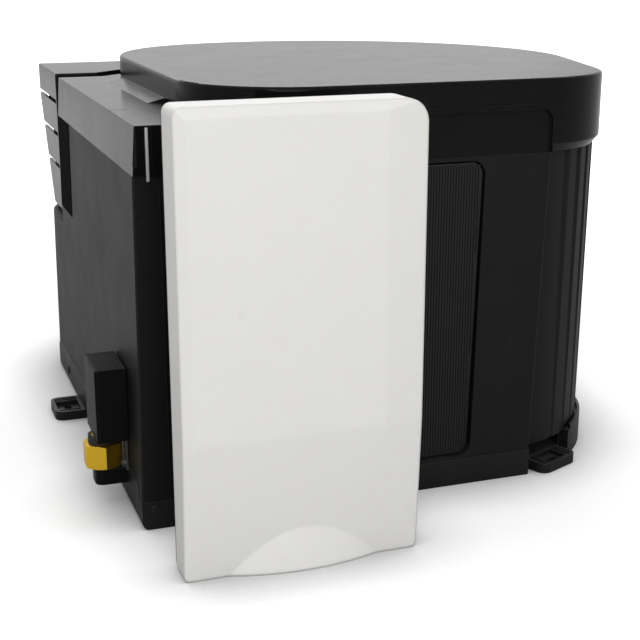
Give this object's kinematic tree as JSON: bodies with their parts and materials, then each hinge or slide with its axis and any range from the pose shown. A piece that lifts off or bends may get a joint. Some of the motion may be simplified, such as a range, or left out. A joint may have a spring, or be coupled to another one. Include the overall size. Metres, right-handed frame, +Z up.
{
  "type": "water heater",
  "caption": "Gas water heater for a caravan: black case with a round end, raised lid and ribbed panel, a white wall cover on ducts, and a brass gas inlet.",
  "frame": {"origin": "middle of the case's 400 by 461 mm footprint, on the tray's flat underside", "axes": "+Z up, -Y towards the wall cover, -X towards the gas inlet"},
  "size_m": [0.4274, 0.578, 0.2964],
  "materials": {
    "black_plastic": "satin black moulded plastic",
    "board": "green circuit board",
    "brass": "bright yellow brass",
    "cast_aluminium": "cast and left rough",
    "ceramic": "glazed ceramic",
    "coil": "wound coil in a plastic shell",
    "copper": "copper tube",
    "foam": "moulded foam",
    "rubber": "soft black rubber",
    "stainless": "stainless sheet",
    "steel": "bright steel",
    "white_plastic": "white moulded plastic"
  },
  "bodies": {
    "case": {"base_tray": "black_plastic", "burner_gas_pipe": "copper", "burner_gasket": "rubber", "burner_housing": "steel", "burner_tube": "steel", "cold_water_pipe": "stainless", "connection_box": "black_plastic", "connection_box_cover": "black_plastic", "control_board": "board", "control_housing": "black_plastic", "cowl_baffle": "black_plastic", "cowl_frame": "black_plastic", "cowl_seal": "rubber", "cutting_ring": "brass", "duct_seals": "rubber", "exhaust_duct": "stainless", "flame_electrode": "ceramic", "foot_front_right": "black_plastic", "foot_left": "black_plastic", "foot_rear": "black_plastic", "foot_rear_right": "black_plastic", "gas_bracket": "steel", "gas_injector": "brass", "gas_inlet_nipple": "brass", "gas_pipe": "copper", "gas_seal_collar": "rubber", "gas_valve": "cast_aluminium", "gas_valve_coil": "coil", "gas_valve_spring": "steel", "heat_exchanger": "cast_aluminium", "hot_water_pipe": "stainless", "ignition_electrode": "ceramic", "intake_duct": "stainless", "lower_casing": "black_plastic", "overheat_switch": "ceramic", "pipe_bracket": "black_plastic", "ribbed_front_panel": "black_plastic", "tank_insulation_lower": "foam", "tank_insulation_upper": "foam", "temperature_sensor": "steel", "tray_screws": "steel", "upper_shell": "black_plastic", "water_tank": "stainless"},
    "cover": {"cowl_cover": "white_plastic"},
    "service_lid": {"service_cover": "black_plastic"},
    "gas_nut": {"gas_union_nut": "brass"},
    "cold_nut": {"cold_union_nut": "brass"},
    "hot_nut": {"hot_union_nut": "brass"},
    "plunger": {"gas_valve_plunger": "steel"}
  },
  "joints": [
    {"name": "cover_slide", "type": "slide", "parent": "case", "child": "cover", "axis": [0, -1, 0], "range_m": [0, 0.1]},
    {"name": "service_lift", "type": "slide", "parent": "case", "child": "service_lid", "axis": [0, 0, 1], "range_m": [0, 0.08]},
    {"name": "gas_nut_turn", "type": "hinge", "parent": "case", "child": "gas_nut", "pos_m": [-0.2149, -0.1705, 0.03675], "axis": [0, 0, 1], "continuous": true},
    {"name": "cold_nut_turn", "type": "hinge", "parent": "case", "child": "cold_nut", "pos_m": [-0.085, 0.2365, 0.06], "axis": [0, 1, 0], "continuous": true},
    {"name": "hot_nut_turn", "type": "hinge", "parent": "case", "child": "hot_nut", "pos_m": [-0.085, 0.2365, 0.125], "axis": [0, 1, 0], "continuous": true},
    {"name": "valve_lift", "type": "slide", "parent": "case", "child": "plunger", "axis": [0, 0, 1], "range_m": [0, 0.006], "stiffness_N_per_m": 150, "springref_m": -0.004, "deforming": ["gas_valve_spring"]}
  ]
}
